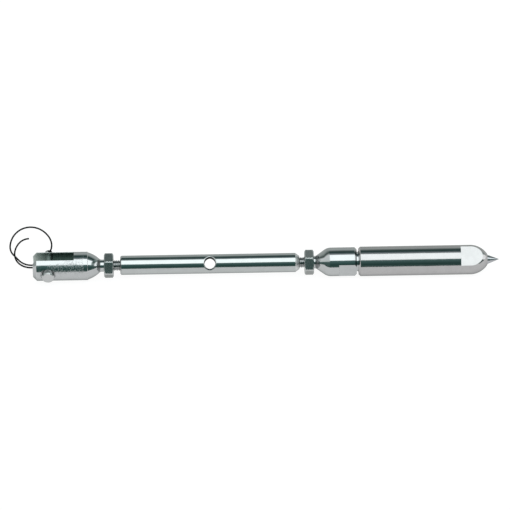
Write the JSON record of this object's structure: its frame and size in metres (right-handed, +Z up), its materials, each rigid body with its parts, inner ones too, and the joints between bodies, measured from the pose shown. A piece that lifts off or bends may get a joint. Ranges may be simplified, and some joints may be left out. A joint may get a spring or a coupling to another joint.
{
  "type": "rigging turnbuckle",
  "caption": "Closed-body rigging turnbuckle with a pinned fork at one end and a barrel-and-spike rope terminal at the other.",
  "frame": {"origin": "middle of the clevis pin, between the fork's two ears", "axes": "+X along the turnbuckle from the fork to the spike, +Y along the clevis pin from its head to its tail, +Z up"},
  "size_m": [0.3562, 0.037, 0.0303],
  "materials": {
    "polished_steel": "polished stainless steel",
    "pin_steel": "satin turned stainless steel",
    "ring_wire": "drawn spring wire, bright",
    "nut_steel": "machined stainless steel",
    "tube_steel": "polished stainless steel",
    "head_steel": "polished stainless steel",
    "barrel_steel": "polished stainless steel",
    "spike_steel": "fine turned stainless steel"
  },
  "bodies": {
    "fork": {"fork": "polished_steel"},
    "clevis_pin": {"clevis_pin": "pin_steel"},
    "split_ring": {"split_ring": "ring_wire"},
    "fork_lock_nut": {"fork_lock_nut": "nut_steel"},
    "tube": {"tube": "tube_steel"},
    "terminal_head": {"terminal_head": "head_steel"},
    "terminal_lock_nut": {"terminal_lock_nut": "nut_steel"},
    "spike": {"spike": "spike_steel"},
    "terminal_barrel": {"terminal_barrel": "barrel_steel"}
  },
  "joints": [
    {"name": "pin_turn", "type": "hinge", "parent": "fork", "child": "clevis_pin", "pos_m": [0, 0, 0], "axis": [0, 1, 0], "range_deg": [-90, 150]},
    {"name": "ring_swing", "type": "hinge", "parent": "clevis_pin", "child": "split_ring", "pos_m": [0, 0.0141, 0], "axis": [0.3987, 0, 0.9171], "range_deg": [-145, 3]},
    {"name": "fork_nut_run", "type": "slide", "parent": "fork", "child": "fork_lock_nut", "axis": [1, 0, 0], "range_m": [0, 0.03]},
    {"name": "tube_turn", "type": "hinge", "parent": "fork_lock_nut", "child": "tube", "pos_m": [0.11745, 0, 0], "axis": [1, 0, 0], "range_deg": [0, 8640]},
    {"name": "terminal_draw", "type": "slide", "parent": "fork_lock_nut", "child": "terminal_head", "axis": [1, 0, 0], "range_m": [0, 0.03]},
    {"name": "terminal_nut_run", "type": "slide", "parent": "terminal_head", "child": "terminal_lock_nut", "axis": [-1, 0, 0], "range_m": [0, 0.0035]},
    {"name": "spike_draw", "type": "slide", "parent": "terminal_head", "child": "spike", "axis": [1, 0, 0], "range_m": [0, 0.00975]},
    {"name": "barrel_turn", "type": "hinge", "parent": "spike", "child": "terminal_barrel", "pos_m": [0.27, 0, 0], "axis": [1, 0, 0], "range_deg": [0, 2340]}
  ],
  "couplings": [
    {"joint": "tube_turn", "follows": "fork_nut_run", "rad_per_m": 5026.5},
    {"joint": "terminal_draw", "follows": "fork_nut_run", "ratio": 1},
    {"joint": "barrel_turn", "follows": "spike_draw", "rad_per_m": 4188.8}
  ]
}
